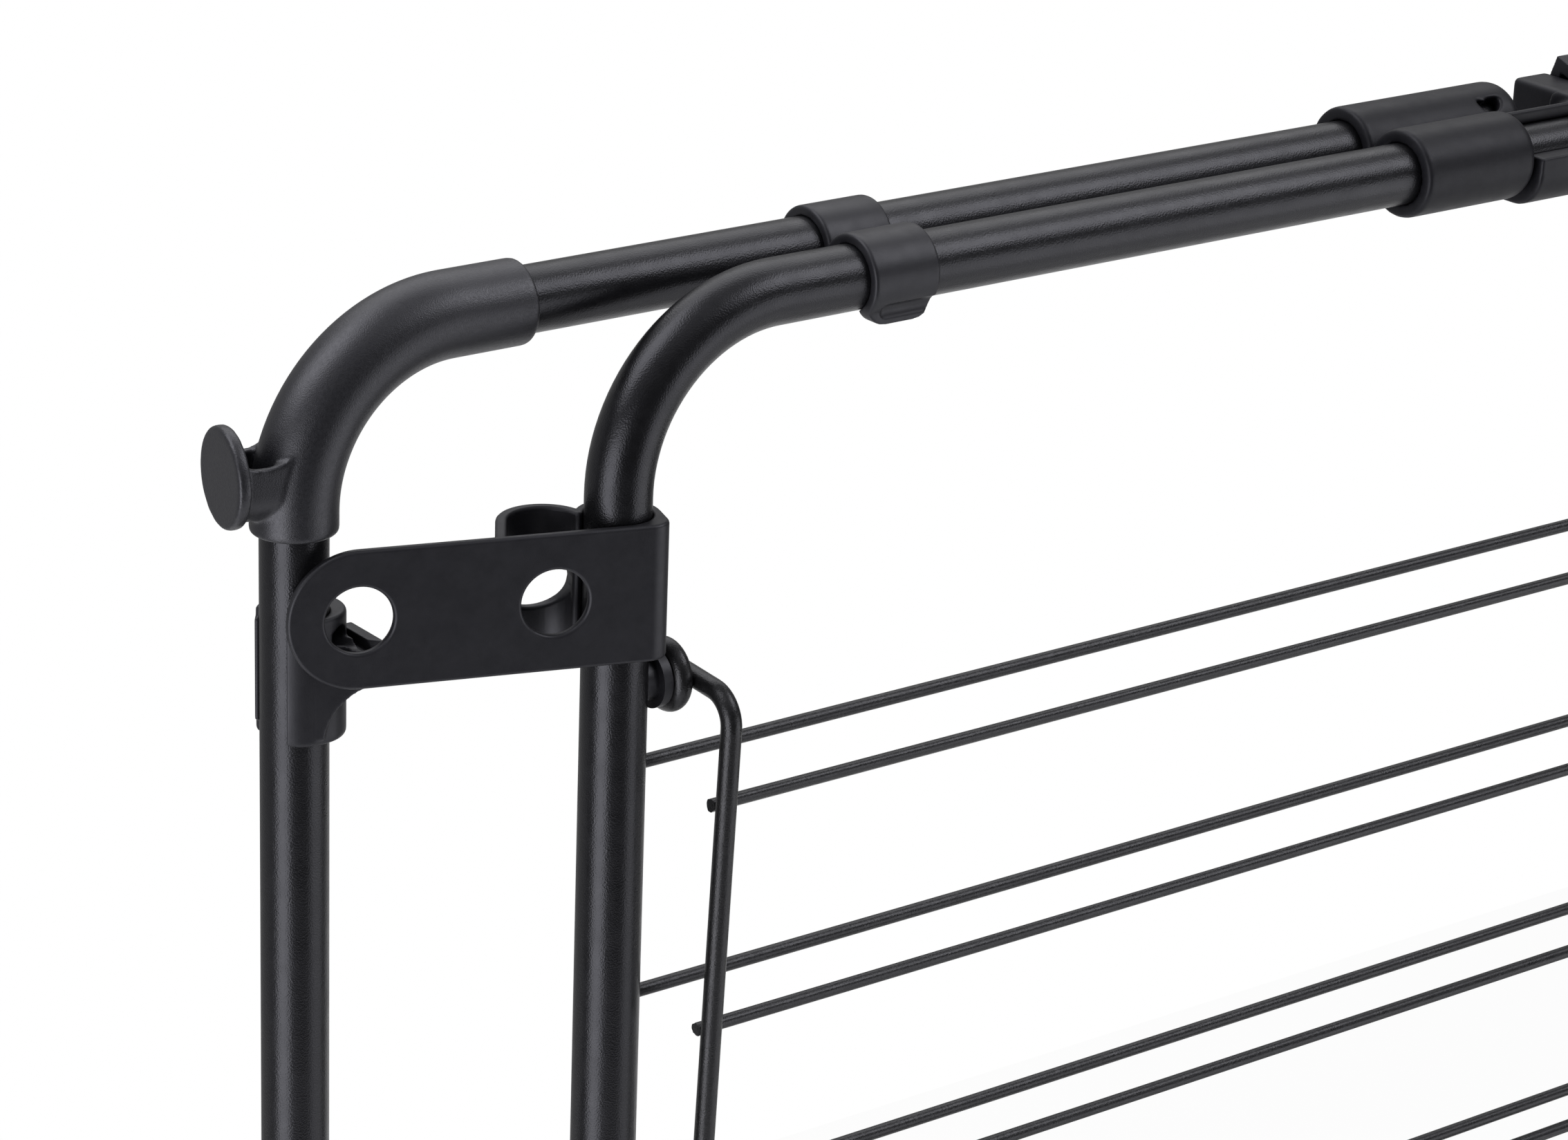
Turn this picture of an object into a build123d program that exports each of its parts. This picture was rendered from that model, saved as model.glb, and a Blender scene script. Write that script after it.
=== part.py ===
from build123d import *
import math
import os

os.makedirs("parts", exist_ok=True)

# Wall-mounted fold-down drying rack. Millimetres, +Z up, +X right, +Y into the wall.
# The wall is the plane Y = 0 and the bed hinge lies at the height Z = 0.

# Driving sizes
tube_d = 16.0             # outer diameter of both tube frames
tube_wall = 1.2
outer_half = 408.0        # middle of the rack to the wall frame's posts
post_step = 72.3          # wall frame's post to the bed's post
bar_height = 660.0        # hinge axis to the axis of both top bars
wall_gap = 45.0           # wall to the wall frame's tubes
frame_gap = 24.0          # wall frame's tubes to the bed's tubes
line_d = 3.4
line_first = 110.8        # top bar to the first bed line
line_last = 69.2          # hinge axis to the last bed line
line_count = 9
wing_wire_d = 5.1
wing_line_count = 5
plate_tall = 33.6
plate_hole_d = 16.0

# Clearances
fit = 0.05                # fixed pieces on tubes and rods
run_fit = 0.06            # turning pieces on tubes and pins
weld_gap = 0.02           # wires against what they are welded to
free_gap = 0.3            # between pieces that move past each other

# Sizes that follow
tube_r = tube_d / 2
bore_r = tube_r - tube_wall
bed_half = outer_half - post_step
frame_y = -wall_gap
bed_y = frame_y - frame_gap
line_r = line_d / 2
line_pitch = (bar_height - line_first - line_last) / (line_count - 1)
wire_r = wing_wire_d / 2


def rod(start, along, length, radius):
    return Solid.make_cylinder(radius, length, Plane(origin=start, z_dir=along))


def block(x0, x1, y0, y1, z0, z1):
    size = Solid.make_box(x1 - x0, y1 - y0, z1 - z0)
    return size.translate(Vector(x0, y0, z0))


def swept(points, bend, radius):
    path = FilletPolyline(*points, radius=bend)
    start = Plane(origin=path @ 0, z_dir=path % 0)
    return sweep(start * Circle(radius), path=path)


def pipe(points, bend, outer, inner):
    return swept(points, bend, outer) - swept(points, bend, inner)


def ring_y(origin, radius, length):
    return rod(origin, (0, 1, 0), length, radius)


def soften(shape, edges, radius):
    return shape.fillet(radius, edges)


def one_solid(shape):
    found = shape.solids()
    if len(found) == 1:
        return found[0]
    return Compound(children=list(found))


pieces = {}


def add(name, shape):
    pieces[name] = one_solid(shape)


def add_pair(name, left_shape):
    add(name + "_left", left_shape)
    add(name + "_right", mirror(left_shape, about=Plane.YZ))


# Wall frame: two bent tubes, each a post and half of the top bar
frame_bend = 2.5 * tube_d
socket_floor = -14.0
frame_tube_end = 38.0
frame_path = [
    (-outer_half, frame_y, socket_floor + fit),
    (-outer_half, frame_y, bar_height),
    (-frame_tube_end, frame_y, bar_height),
]
add_pair("frame_tube", pipe(frame_path, frame_bend, tube_r, bore_r))

# Corner cover moulded over the wall frame's bend, with the side hook on it
cover_wall = 2.2
corner_r = tube_r + cover_wall
corner_drop = frame_bend + 4.6
corner_run = frame_bend + 19.5
cover_round = 0.9
cutter_over = 5.0         # how far a cutter passes a face


def corner_path(past):
    return [
        (-outer_half, frame_y, bar_height - corner_drop - past),
        (-outer_half, frame_y, bar_height),
        (-outer_half + corner_run + past, frame_y, bar_height),
    ]


cover = swept(corner_path(0), frame_bend, corner_r)
rims = cover.edges().filter_by(GeomType.CIRCLE)
rims = [e for e in rims if abs(e.radius - corner_r) < 0.01 and e.length > 5.9 * corner_r]
cover = soften(cover, rims, cover_round)
hook_turn = 8.0           # degrees, toward the wall
hook_way = math.radians(hook_turn)
hook_axis = Vector(-math.cos(hook_way), math.sin(hook_way), 0)
side_way = Vector(hook_axis.Y, -hook_axis.X, 0)
hook_reach = corner_r + 7.8
disc_r = 11.9
disc_thick = 3.2
hook_z = bar_height - frame_bend + 10.3
hook_root = Vector(-outer_half, frame_y, hook_z)
trough_half = 8.0
trough_low = disc_r - 1.2
trough_wall = 2.2
trough_top = 8.0
saddle_r = 12.0
saddle_low = 3.4          # lowest point of the trough's rim above the disc's middle
saddle_in = 4.5           # that point to the disc


def trough(half, low, length):
    floor = rod(hook_root + Vector(0, 0, half - low), hook_axis, length, half)
    walls = block(0, length, -half, half, half - low, trough_top)
    return floor + walls.rotate(Axis.Z, 180 - hook_turn).translate(hook_root)


disc_start = hook_reach - disc_thick
hook_arm = trough(trough_half, trough_low, hook_reach - cover_round)
hook_arm -= trough(trough_half - trough_wall, trough_low - trough_wall, disc_start)
saddle_mid = hook_root + hook_axis * (disc_start - saddle_in) + Vector(0, 0, saddle_low + saddle_r)
saddle_long = 4 * trough_half
hook_arm -= rod(saddle_mid - side_way * (saddle_long / 2), side_way, saddle_long, saddle_r)
disc = rod(hook_root + hook_axis * disc_start, hook_axis, disc_thick, disc_r)
disc = soften(disc, disc.edges().filter_by(GeomType.CIRCLE), cover_round)
cover = cover + hook_arm + disc
cover -= swept(corner_path(cutter_over), frame_bend, tube_r + fit)
add_pair("corner_hook", cover)

# Snap clips on both top bars, open below, with a scooped finger lip on the front jaw
clip_long = 19.4
clip_share = 0.3125       # of the space between the two bars, taken by a clip's wall
clip_wall = clip_share * (frame_gap - tube_d)
clip_r = tube_r + clip_wall
clip_round = 0.8
jaw_corner = 5.4          # rounding of the front jaw's lower corners
lip_front = 0.72 * clip_r
lip_back = 0.3 * clip_r
lip_root = 0.5 * clip_r
scoop_r = 2.5
scoop_half = 4.5
scoop_out = lip_front + 1.85
scoop_drop = 0.715 * clip_r
mouth_front = 0.4 * tube_r
mouth_rear = 0.52 * tube_r


def bar_clip(mid_x, y):
    left_x = mid_x - clip_long / 2
    right_x = mid_x + clip_long / 2
    low = bar_height - clip_r
    ring = rod((left_x, y, bar_height), (1, 0, 0), clip_long, clip_r)
    ring = soften(ring, ring.edges().filter_by(GeomType.CIRCLE), clip_round)
    ring += block(left_x, right_x, y - lip_front, y - lip_back, low, bar_height - lip_root)
    scoop_y = y - scoop_out
    scoop_z = bar_height - scoop_drop
    ring -= rod((mid_x - scoop_half, scoop_y, scoop_z), (1, 0, 0), 2 * scoop_half, scoop_r)
    for scoop_x in (mid_x - scoop_half, mid_x + scoop_half):
        ring -= Pos(scoop_x, scoop_y, scoop_z) * Sphere(scoop_r)
    for outer_x, inner_x in ((left_x, left_x + jaw_corner), (right_x, right_x - jaw_corner)):
        trim = block(min(outer_x, inner_x) - 1, max(outer_x, inner_x) + 1, y - 2 * clip_r, y + 2 * clip_r,
                     low - 1, low + jaw_corner)
        keep = rod((inner_x, y - 2 * clip_r, low + jaw_corner), (0, 1, 0), 4 * clip_r, jaw_corner)
        keep += block(min(inner_x, mid_x), max(inner_x, mid_x), y - 2 * clip_r, y + 2 * clip_r,
                      low - 1, low + jaw_corner)
        ring -= trim - keep
    ring -= rod((left_x - 1, y, bar_height), (1, 0, 0), clip_long + 2, tube_r + fit)
    mouth = block(left_x - 1, right_x + 1, y - mouth_front, y + clip_r + 1, low - 1, bar_height - mouth_rear)
    return ring - mouth


frame_clip_x = -outer_half + 151.9
bed_clip_x = -bed_half + 74.7
add_pair("frame_clip", bar_clip(frame_clip_x, frame_y))
add_pair("bed_clip", bar_clip(bed_clip_x, bed_y))

# Post clips: snapped on the posts from the inside, with a grooved arm the hanger plate rests on
plate_gap = 2.0           # corner cover to the hanger plate
plate_mid = bar_height - corner_drop - plate_gap - plate_tall / 2
post_clip_top = plate_mid - free_gap
post_clip_tall = 30.7
shell_r = tube_r + 1.75
shell_x = 1.2
shell_y = 0.5
shell_swell = 1.55        # how much thicker the shell is on the arm's side
shell_round = 1.0
plate_bore = tube_r + run_fit
post_apart = math.hypot(post_step, frame_gap)
post_line = math.atan2(frame_gap, post_step)
shell_front = shell_r - shell_x * math.sin(post_line) - shell_y * math.cos(post_line)
aim = post_line - math.asin((shell_front + free_gap - plate_bore) / post_apart)
clip_foot = Vector(-outer_half, frame_y, post_clip_top - post_clip_tall)
clip_head = Vector(-outer_half, frame_y, post_clip_top)
outline = Pos(shell_x, shell_y) * Circle(shell_r) + Pos(shell_x + shell_swell, shell_y) * Circle(shell_r)
outline += Pos(shell_x + shell_swell / 2, shell_y) * Rectangle(shell_swell, 2 * shell_r)
shell = extrude(outline, amount=post_clip_tall)
shell_ends = shell.faces().sort_by(Axis.Z)
shell = soften(shell, shell_ends[0].edges() + shell_ends[-1].edges(), shell_round)
shell = shell.translate(clip_foot)
rest_out = 15.0
rest_left = 0.0
rest_right = 15.8
rest_top = -6.4           # heights below the clip's top
rest_low = -29.0
curve_r = 14.0
curve_x = 16.0
curve_z = -30.5
rest_arm = block(rest_left, rest_right, -rest_out, 1.0, rest_low, rest_top)
rest_arm -= rod((curve_x, -2 * rest_out, curve_z), (0, 1, 0), 4 * rest_out, curve_r)
groove_left = 10.6
groove_right = 12.8
groove_deep = 3.0
rest_arm -= block(groove_left, groove_right, -rest_out - 1, 0.2, rest_top - groove_deep, rest_top + 1)
shell += rest_arm.translate(clip_head)
far = 4 * tube_d          # larger than a clip, for cutters
blade_side = block(-far, far, -far, -shell_front, -far, far).rotate(Axis.Z, -math.degrees(aim))
shell -= blade_side.translate(clip_head)
shell -= rod(clip_foot - Vector(0, 0, far), (0, 0, 1), 3 * far, tube_r + fit)
jaw_front = math.radians(226.0)
jaw_back = math.radians(143.0)
wedge = Polyline(
    (0, 0),
    (far * math.cos(jaw_front), far * math.sin(jaw_front)),
    (-2 * far, 0),
    (far * math.cos(jaw_back), far * math.sin(jaw_back)),
    close=True,
)
shell -= extrude(make_face(wedge), amount=2 * far).translate(clip_foot - Vector(0, 0, cutter_over))
jaw_inset = 0.3 * tube_r
jaw_end = 6.0             # the rear jaw is lower than the shell on this side of the post
jaw_top = 2.6
jaw_low = 3.2
shell -= block(-far, -jaw_end, jaw_inset, far, -jaw_top, far).translate(clip_head)
shell -= block(-far, -jaw_end, jaw_inset, far, -far, jaw_low).translate(clip_foot)
dimple_r = 2.6
dimple_drop = 5.5
dimple_turn = math.radians(312.0)
dimple_way = (math.cos(dimple_turn), math.sin(dimple_turn), 0)
shell -= rod(clip_head - Vector(0, 0, dimple_drop), dimple_way, 2 * tube_d, dimple_r)
add_pair("post_clip", shell)

# Top bar ends: moulded sleeves and the rod that joins the two halves of the wall frame's bar
sleeve_apart = 0.8        # between the sleeves of the two bars
sleeve_r = (frame_gap - sleeve_apart) / 2
frame_sleeve_start = 89.9
frame_sleeve_end = 32.6
bed_sleeve_start = 92.0
bed_sleeve_end = 52.5
mouth_round = 1.2         # rounding of a sleeve's open end
frame_end_round = 4.4
bed_end_round = 3.4
latch_rod_r = 3.0
latch_rod_z = bar_height - 6.5
rod_seat = 2.0            # how far inside the tube's end the rod stops


def sleeve(y, start_x, end_x, end_wall, end_round):
    body = rod((-start_x, y, bar_height), (1, 0, 0), start_x - end_x, sleeve_r)
    rim = body.edges().filter_by(GeomType.CIRCLE).sort_by(Axis.X)
    body = soften(body, [rim[-1]], end_round)
    rim = body.edges().filter_by(GeomType.CIRCLE).sort_by(Axis.X)
    body = soften(body, [rim[0]], mouth_round)
    return body - rod((-start_x - cutter_over, y, bar_height), (1, 0, 0),
                      start_x - end_x - end_wall + cutter_over, tube_r + fit)


end_wall = frame_tube_end - frame_sleeve_end - fit
frame_sleeve = sleeve(frame_y, frame_sleeve_start, frame_sleeve_end, end_wall, frame_end_round)
joiner_end = frame_tube_end - rod_seat
frame_sleeve -= rod((-joiner_end - fit, frame_y, latch_rod_z), (1, 0, 0), joiner_end, latch_rod_r + weld_gap)
slot_in = 10.9            # sleeve's end to the slot's middle
slot_turn = math.radians(50.0)
slot_face = Plane(
    origin=(-frame_sleeve_end - slot_in, frame_y, bar_height),
    x_dir=(1, 0, 0),
    z_dir=(0, -math.cos(slot_turn), math.sin(slot_turn)),
)
slot_r = 4.0
slot_up = 1.2             # the slot's round middle, and its flat top, above the slot's middle
slot_flat = 1.6
notch_r = 1.5
notch_x = -1.6
notch_up = 2.3
crescent = Pos(0, slot_up) * Circle(slot_r) & Pos(0, slot_flat - 2 * slot_r) * Rectangle(4 * slot_r, 4 * slot_r)
crescent -= Pos(notch_x, notch_up) * Circle(notch_r)
frame_sleeve -= extrude(slot_face * crescent, amount=2 * sleeve_r)
add_pair("frame_sleeve", frame_sleeve)

add_pair("bed_sleeve", sleeve(bed_y, bed_sleeve_start, bed_sleeve_end, 0.0, bed_end_round))

frame_joiner = rod((-joiner_end, frame_y, latch_rod_z), (1, 0, 0), 2 * joiner_end, latch_rod_r)
add("frame_joiner", frame_joiner)

# Wall brackets
screw_out = 24.0          # post to the screws
screw_x = outer_half + screw_out
screw_d = 6.5
sink_deep = 3.2
pad_thick = 6.0
pad_side = 14.0
pad_corner = 6.0
pad_edge = 1.2
pad_x0 = -screw_x - pad_side
pad_x1 = -outer_half + pad_side
boss_wall = 5.0
boss_r = tube_r + boss_wall
neck_root = -pad_thick + 1.0


def screw_hole(x, z):
    hole = ring_y((x, -pad_thick - cutter_over, z), screw_d / 2, pad_thick + 2 * cutter_over)
    sink = Solid.make_cone(screw_d, screw_d / 2, sink_deep, Plane(origin=(x, -pad_thick, z), z_dir=(0, 1, 0)))
    return hole + sink


def wall_pad(z0, z1):
    pad = block(pad_x0, pad_x1, -pad_thick, 0, z0, z1)
    pad = soften(pad, pad.edges().filter_by(Axis.Y), pad_corner)
    return soften(pad, pad.faces().sort_by(Axis.Y)[0].edges(), pad_edge)


upper_drop = 300.0        # top bar to the upper brackets
upper_z = bar_height - upper_drop
upper_half = 24.0
upper_neck = 8.0
neck_half = 15.0
hug_half = 17.0
hug_r = boss_r - 1.0
hug_round = 1.2
upper = wall_pad(upper_z - upper_half, upper_z + upper_half)
upper += block(-outer_half - upper_neck, -outer_half + upper_neck, frame_y, neck_root,
               upper_z - neck_half, upper_z + neck_half)
hug = rod((-outer_half, frame_y, upper_z - hug_half), (0, 0, 1), 2 * hug_half, hug_r)
hug = soften(hug, hug.edges().filter_by(GeomType.CIRCLE), hug_round)
upper += hug
upper -= rod((-outer_half, frame_y, upper_z - far), (0, 0, 1), 2 * far, tube_r + fit)
upper -= screw_hole(-screw_x, upper_z)
add_pair("upper_bracket", upper)

hinge_out = 20.0
hinge_y = bed_y - hinge_out
hinge_r = 5.0
cap_r = tube_r + 2.0
cross_z = hinge_out + cap_r + tube_r + free_gap
arm_half = 9.0
arm_r = 14.0
arm_under = 8.0           # how far behind the hinge the arm's foot is cut back
lower_screw_z = 34.0
lower_over = 14.0
foot_thick = 6.0
foot_floor = socket_floor - foot_thick
lower_top = cross_z + boss_r
lower_neck = 9.0
neck_below = 2.0
cup_round = 1.5
lower = wall_pad(-lower_screw_z - lower_over, lower_screw_z + lower_over)
lower += block(-outer_half - lower_neck, -outer_half + lower_neck, frame_y, neck_root, foot_floor,
               lower_top - neck_below)
cup = rod((-outer_half, frame_y, foot_floor), (0, 0, 1), lower_top - foot_floor, boss_r)
cup = soften(cup, cup.edges().filter_by(GeomType.CIRCLE), cup_round)
lower += cup
cross_depth = 30.0
cross_clear = 4.0         # post to the cross tube's end
cross_end = outer_half - tube_r - cross_clear
lower += rod((-outer_half, frame_y, cross_z), (1, 0, 0), outer_half - cross_end + cross_depth, boss_r)
reach_arm = block(-outer_half - arm_half, -outer_half + arm_half, hinge_y, frame_y, foot_floor, arm_r)
reach_arm += rod((-outer_half - arm_half, hinge_y, 0), (1, 0, 0), 2 * arm_half, arm_r)
reach_arm -= block(-outer_half - far, -outer_half + far, hinge_y - far, hinge_y + arm_under, -far, -arm_r)
lower += reach_arm
lower -= rod((-outer_half, frame_y, socket_floor), (0, 0, 1), 4 * far, tube_r + fit)
lower -= rod((-cross_end - fit, frame_y, cross_z), (1, 0, 0), 2 * far, tube_r + fit)
lower -= rod((-outer_half - far, hinge_y, 0), (1, 0, 0), 2 * far, hinge_r + weld_gap)
lower -= screw_hole(-screw_x, lower_screw_z)
lower -= screw_hole(-screw_x, -lower_screw_z)
add_pair("lower_bracket", lower)

cross_tube = rod((-cross_end, frame_y, cross_z), (1, 0, 0), 2 * cross_end, tube_r)
cross_tube -= rod((-cross_end - cutter_over, frame_y, cross_z), (1, 0, 0), 2 * (cross_end + cutter_over), bore_r)
add("cross_tube", cross_tube)

# Hinge line: one rod through both brackets, end caps and distance sleeves
cap_deep = 8.0            # how far an end cap reaches over the rod
cap_floor = 2.5
cap_outer_r = 8.0
cap_round = 2.0
rod_end = outer_half + arm_half + cap_deep
hinge_rod = rod((-rod_end, hinge_y, 0), (1, 0, 0), 2 * rod_end, hinge_r)
add("hinge_rod", hinge_rod)
cap_long = cap_deep + cap_floor - weld_gap
end_cap = rod((-rod_end - cap_floor, hinge_y, 0), (1, 0, 0), cap_long, cap_outer_r)
end_cap = soften(end_cap, [end_cap.edges().filter_by(GeomType.CIRCLE).sort_by(Axis.X)[0]], cap_round)
end_cap -= rod((-rod_end - weld_gap, hinge_y, 0), (1, 0, 0), 2 * cap_deep, hinge_r + weld_gap)
add_pair("hinge_cap", end_cap)

knuckle_half = 14.0
knuckle_r = 12.0
spacer_from = outer_half - arm_half - weld_gap
spacer_to = bed_half + knuckle_half + free_gap
distance_sleeve = rod((-spacer_from, hinge_y, 0), (1, 0, 0), spacer_from - spacer_to, cap_outer_r)
distance_sleeve -= rod((-spacer_from - cutter_over, hinge_y, 0), (1, 0, 0), post_step + 2 * cutter_over,
                       hinge_r + weld_gap)
add_pair("hinge_sleeve", distance_sleeve)

# Bed: two bent tubes joined in the middle of the bar
bed_bend = 42.5 / 16.0 * tube_d
tail = 54.0
tube_in = 4.0             # sleeve's end to the end of the tube inside it
bed_tube_end = bed_sleeve_end + tube_in
bed_path = [
    (-bed_half, bed_y, -tail),
    (-bed_half, bed_y, bar_height),
    (-bed_tube_end, bed_y, bar_height),
]
pivot_under = 9.5         # hanger plate's lower edge to the wing's pivots
pivot_z = plate_mid - plate_tall / 2 - pivot_under
pivot_drop = bar_height - pivot_z
eye_r = wire_r + 4.1
pin_r = eye_r - wire_r - run_fit
bed_tube = pipe(bed_path, bed_bend, tube_r, bore_r)
bed_tube -= rod((-bed_half, bed_y, pivot_z), (1, 0, 0), tube_r + 2, pin_r + weld_gap)
add_pair("bed_tube", bed_tube)

tail_floor = 2.5
tail_long = 31.0
tail_round = 1.2
tail_cap = rod((-bed_half, bed_y, -tail - tail_floor), (0, 0, 1), tail_long, cap_r)
tail_cap = soften(tail_cap, tail_cap.edges().filter_by(GeomType.CIRCLE), tail_round)
tail_cap -= rod((-bed_half, bed_y, -tail - weld_gap), (0, 0, 1), 2 * tail_long, tube_r + fit)
add_pair("tail_cap", tail_cap)

collar_r = boss_r - 0.5
knuckle = rod((-bed_half, bed_y, -knuckle_half), (0, 0, 1), 2 * knuckle_half, collar_r)
knuckle += block(-bed_half - knuckle_half, -bed_half + knuckle_half, hinge_y, bed_y, -knuckle_r, knuckle_r)
knuckle += rod((-bed_half - knuckle_half, hinge_y, 0), (1, 0, 0), 2 * knuckle_half, knuckle_r)
knuckle -= rod((-bed_half, bed_y, -far), (0, 0, 1), 2 * far, tube_r + fit)
knuckle -= rod((-bed_half - far, hinge_y, 0), (1, 0, 0), 2 * far, hinge_r + run_fit)
add_pair("hinge_knuckle", knuckle)

for index in range(line_count):
    line_z = bar_height - line_first - line_pitch * index
    end_x = bed_half - tube_r - weld_gap
    add(f"bed_line_{index + 1}", rod((-end_x, bed_y, line_z), (1, 0, 0), 2 * end_x, line_r))

plug_deep = 34.0          # how far the joiner reaches into each tube
plug_r = bore_r - fit
plug_end = bed_tube_end + plug_deep
add("bed_joiner", rod((-plug_end, bed_y, bar_height), (1, 0, 0), 2 * plug_end, plug_r))

# Centre block on the bed's bar: finger recess in front, jaw for the wall frame's rod behind
block_gap = 0.4           # sleeve's end to the block
block_half = bed_sleeve_end - block_gap
block_out = 0.8           # how far the block's front stands before the sleeves
block_front = bed_y - sleeve_r - block_out
block_back = bed_y + sleeve_r - block_out
block_low = bar_height - sleeve_r - 1.4
block_top = bar_height + sleeve_r
block_round = 10.0
top_round = 3.0
recess_floor = bar_height + 1.4
recess_back = bed_y + 2.0
wall = block(-block_half, block_half, block_front, block_back, block_low, recess_floor)
front_low = wall.edges().filter_by(Axis.X).group_by(Axis.Z)[0].sort_by(Axis.Y)[0]
wall = soften(wall, [front_low], block_round)
middle_half = 27.4
middle = block(-middle_half, middle_half, block_front, block_back, bar_height, block_top)
middle = soften(middle, middle.edges().filter_by(Axis.X).group_by(Axis.Z)[-1], top_round)
collar_under = 1.0        # how much slimmer than a sleeve the block's round ends are
front = wall + middle + rod((-block_half, bed_y, bar_height), (1, 0, 0), 2 * block_half, sleeve_r - collar_under)
recess = block(-block_half, block_half, block_front - cutter_over, recess_back, recess_floor,
               block_top + cutter_over)
rear_half = 18.0
rear_top = bar_height + 8.6
rear_low = latch_rod_z - 8.0
rear_front = bed_y + sleeve_r - 4.0
rear_back = frame_y + 9.5
rear_round = 1.6
rear_edge = 1.4
rear = block(-rear_half, rear_half, rear_front, rear_back, rear_low, rear_top)
rear = soften(rear, rear.edges().filter_by(Axis.Z).group_by(Axis.Y)[-1], rear_round)
rear = soften(rear, rear.edges().filter_by(Axis.Y).group_by(Axis.Z)[-1], rear_edge)
jaw_r = latch_rod_r + 0.5
jaw_drop = 1.2
jaw = rod((-far, frame_y, latch_rod_z), (1, 0, 0), 2 * far, jaw_r)
jaw += block(-far, far, frame_y, frame_y + far, latch_rod_z - jaw_r - jaw_drop, latch_rod_z + jaw_r)
lever_half = 5.5
slot_half = lever_half + 0.5
slot_floor = bar_height + 1.0
lever_slot = block(-slot_half, slot_half, recess_back, frame_y + far, slot_floor, bar_height + far)
lever_slot += block(-slot_half, slot_half, frame_y, frame_y + far, latch_rod_z, bar_height + far)
front -= recess
centre = front + rear - jaw - lever_slot
centre -= rod((-2 * far, bed_y, bar_height), (1, 0, 0), 4 * far, plug_r + fit)
lever_pin_y = bed_y + plug_r + 5.75
lever_pin_z = bar_height + 5.2
lever_pin_r = 1.5
pin_hold = 6.0            # how far the pin's hole reaches past the lever
pin_short = 0.2
pin_end = lever_half + pin_hold
centre -= rod((-pin_end, lever_pin_y, lever_pin_z), (1, 0, 0), 2 * pin_end, lever_pin_r + weld_gap)
add("centre_block", centre)

# Latch: a hook lever on a pin, shown lifted, which drops behind the rod
pin_half = pin_end - pin_short
add("latch_pin", rod((-pin_half, lever_pin_y, lever_pin_z), (1, 0, 0), 2 * pin_half, lever_pin_r))
lever_lift = 20.0
beam_low = bar_height + 4.0
beam_thick = 3.6
beam_top = beam_low + beam_thick
eye_out_r = 3.6
hook_thick = 3.4
hook_clear = 1.1          # hook's inner side to the rod
hook_y0 = frame_y + latch_rod_r + hook_clear
hook_y1 = hook_y0 + hook_thick
hook_tip = latch_rod_z - 2.0
thumb_long = 5.0
thumb_low = beam_low - 0.6
lever = block(-lever_half, lever_half, lever_pin_y, hook_y1, beam_low, beam_top)
lever += rod((-lever_half, lever_pin_y, lever_pin_z), (1, 0, 0), 2 * lever_half, eye_out_r)
lever += block(-lever_half, lever_half, hook_y0, hook_y1, hook_tip, beam_top)
lever += block(-lever_half, lever_half, lever_pin_y - thumb_long, lever_pin_y, thumb_low, beam_top)
lever -= rod((-far, lever_pin_y, lever_pin_z), (1, 0, 0), 2 * far, lever_pin_r + run_fit)
lever = lever.rotate(Axis((0, lever_pin_y, lever_pin_z), (1, 0, 0)), lever_lift)
add("latch_lever", lever)

# Wing pivots on the inner sides of the bed's posts
hub_r = 5.2
spacer_r = 7.3
hub_out = tube_r + 1.5
spacer_out = hub_out + 2.5
overlap = 0.2
eye_mid = spacer_out + free_gap + wire_r
spacer = rod((-bed_half, bed_y, pivot_z), (1, 0, 0), hub_out + overlap, hub_r)
spacer += rod((-bed_half + hub_out, bed_y, pivot_z), (1, 0, 0), spacer_out - hub_out, spacer_r)
spacer -= rod((-bed_half, bed_y, pivot_z - far), (0, 0, 1), 2 * far, tube_r + weld_gap)
spacer -= rod((-bed_half - cutter_over, bed_y, pivot_z), (1, 0, 0), far, pin_r + weld_gap)
add_pair("pivot_spacer", spacer)
pin_from = -0.65 * bore_r
pin_inset = 0.9           # the pin's end inside the ring's outer side
pin_round = 0.7
pin_to = eye_mid + wire_r - pin_inset
pin = rod((-bed_half + pin_from, bed_y, pivot_z), (1, 0, 0), pin_to - pin_from, pin_r)
pin = soften(pin, [pin.edges().filter_by(GeomType.CIRCLE).sort_by(Axis.X)[-1]], pin_round)
add_pair("pivot_pin", pin)

# Wing: one bent wire with a ring at each end, lines welded behind it.
# It hangs straight here and is then tilted until its end bar meets a bed line.
wing_out = 20.2
wing_tail = 8.0           # how far the wire runs past the pivots, beside the ring
wing_bend = 7.5
eye_weld = 0.1            # how deep the ring is sunk into the wire
wing_x = bed_half - eye_mid - 2 * wire_r + eye_weld
rest_line = 5
rest_z = line_first + line_pitch * rest_line - pivot_drop
rest_space = wire_r + line_r + free_gap
tilt = 0.0
for step in range(8):
    wing_long = (rest_z - wing_out * math.sin(tilt)) / math.cos(tilt)
    tilt = math.asin((wing_out * math.cos(tilt) - rest_space) / wing_long)
wing_tilt = math.degrees(tilt)
wing_path = [
    (-wing_x, bed_y + wing_tail, pivot_z),
    (-wing_x, bed_y - wing_out, pivot_z),
    (-wing_x, bed_y - wing_out, pivot_z - wing_long),
    (wing_x, bed_y - wing_out, pivot_z - wing_long),
    (wing_x, bed_y - wing_out, pivot_z),
    (wing_x, bed_y + wing_tail, pivot_z),
]
wing_frame = swept(wing_path, wing_bend, wire_r)
for side in (-1, 1):
    eye_plane = Plane(origin=(side * (bed_half - eye_mid), bed_y, pivot_z), z_dir=(1, 0, 0))
    wing_frame += Solid.make_torus(eye_r, wire_r, eye_plane)
tilt_axis = Axis((0, bed_y, pivot_z), (1, 0, 0))
add("wing_frame", wing_frame.rotate(tilt_axis, wing_tilt))
wing_first = 28.6
line_short = 1.2          # a line's end to the outer side of the wing's wire
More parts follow.
